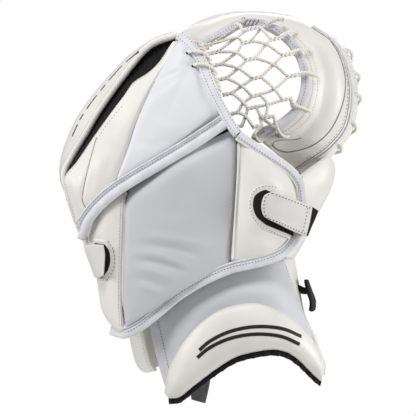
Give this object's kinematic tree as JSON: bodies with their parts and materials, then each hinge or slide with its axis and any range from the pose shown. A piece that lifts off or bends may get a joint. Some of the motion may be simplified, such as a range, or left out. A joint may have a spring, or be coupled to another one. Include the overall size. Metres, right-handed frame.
{
  "type": "goalie catch glove",
  "caption": "Ice hockey goalie catch glove for the left hand, with a laced net web, folding thumb, lifting back pad and flexing cuff.",
  "frame": {"origin": "centre line of the forearm at the arm opening, level with the palm-side cuff board's lower edge", "axes": "+Z towards the fingertips, +X towards the thumb, +Y out of the pocket (the catching side)"},
  "size_m": [0.3252, 0.1597, 0.4243],
  "materials": {
    "cream_leather": "smooth coated synthetic leather, satin",
    "grey_fabric": "smooth coated nylon, soft sheen",
    "bias_binding": "woven nylon tape",
    "black_lining": "brushed tricot",
    "black_hook_and_loop": "napped hook-and-loop tape",
    "beige_lace": "waxed woven skate lace",
    "strap_leather": "satin",
    "dark_webbing": "woven webbing"
  },
  "bodies": {
    "hand": {"palm": "cream_leather", "palm_lining": "black_lining", "finger_loop_1": "black_lining", "finger_loop_2": "black_lining", "finger_loop_3": "black_lining", "finger_loop_4": "black_lining", "finger_perimeter": "cream_leather", "finger_rim": "cream_leather", "finger_guard_outer": "cream_leather", "finger_guard_inner": "cream_leather", "upper_back_pad": "grey_fabric", "upper_pad_roll": "bias_binding", "index_edge_binding": "bias_binding", "web_band_finger": "cream_leather", "web_binding_finger": "bias_binding", "net_finger": "beige_lace"},
    "thumb": {"thumb_palm": "cream_leather", "thumb_lining": "black_lining", "thumb_panel": "cream_leather", "thumb_rim": "cream_leather", "thumb_loop": "black_lining", "web_band_thumb": "cream_leather", "web_binding_thumb": "bias_binding", "net_thumb": "beige_lace"},
    "back_pad": {"lower_pad_left": "cream_leather", "lower_pad_centre": "grey_fabric", "lower_pad_wing": "cream_leather", "wing_binding": "bias_binding", "bottom_binding": "bias_binding", "right_loop_patch": "black_hook_and_loop", "left_loop_patch": "black_hook_and_loop"},
    "right_strap": {"right_strap_tab": "strap_leather", "right_strap_webbing": "black_hook_and_loop"},
    "left_strap": {"left_strap_tab": "strap_leather"},
    "cuff": {"wrist_guard": "grey_fabric", "cuff_board": "cream_leather", "cuff_left_side": "cream_leather", "cuff_right_side": "cream_leather", "crescent_pad": "cream_leather", "cuff_ridge": "grey_fabric", "cuff_lining": "black_lining", "wrist_strap": "black_hook_and_loop"},
    "wrist_tab": {"wrist_tab": "black_hook_and_loop"},
    "pull_tail": {"pull_tail": "dark_webbing"}
  },
  "joints": [
    {"name": "glove_close", "type": "hinge", "parent": "hand", "child": "thumb", "pos_m": [-0.03, 0.016, 0.078], "axis": [0.2798, 0, 0.9601], "range_deg": [0, 24]},
    {"name": "back_pad_lift", "type": "hinge", "parent": "hand", "child": "back_pad", "pos_m": [-0.075, -0.05, 0.232], "axis": [-0.8656, 0, -0.5008], "range_deg": [0, 15]},
    {"name": "cuff_flex", "type": "hinge", "parent": "hand", "child": "cuff", "pos_m": [-0.03, -0.008, 0.108], "axis": [1, 0, 0], "range_deg": [-8, 8]},
    {"name": "right_strap_peel", "type": "hinge", "parent": "back_pad", "child": "right_strap", "pos_m": [0.072, -0.042, 0.164], "axis": [0.124, 0, 0.9923], "range_deg": [0, 100]},
    {"name": "left_strap_peel", "type": "hinge", "parent": "back_pad", "child": "left_strap", "pos_m": [-0.166, -0.045, 0.12], "axis": [0.3571, 0, -0.9341], "range_deg": [0, 90]},
    {"name": "wrist_tab_peel", "type": "hinge", "parent": "cuff", "child": "wrist_tab", "pos_m": [0.069, -0.004, 0.082], "axis": [0.19, 0, -0.9818], "range_deg": [0, 60]},
    {"name": "pull_tail_swing", "type": "hinge", "parent": "cuff", "child": "pull_tail", "pos_m": [-0.044, -0.029, 0.001], "axis": [1, 0, 0], "range_deg": [-10, 15]}
  ]
}
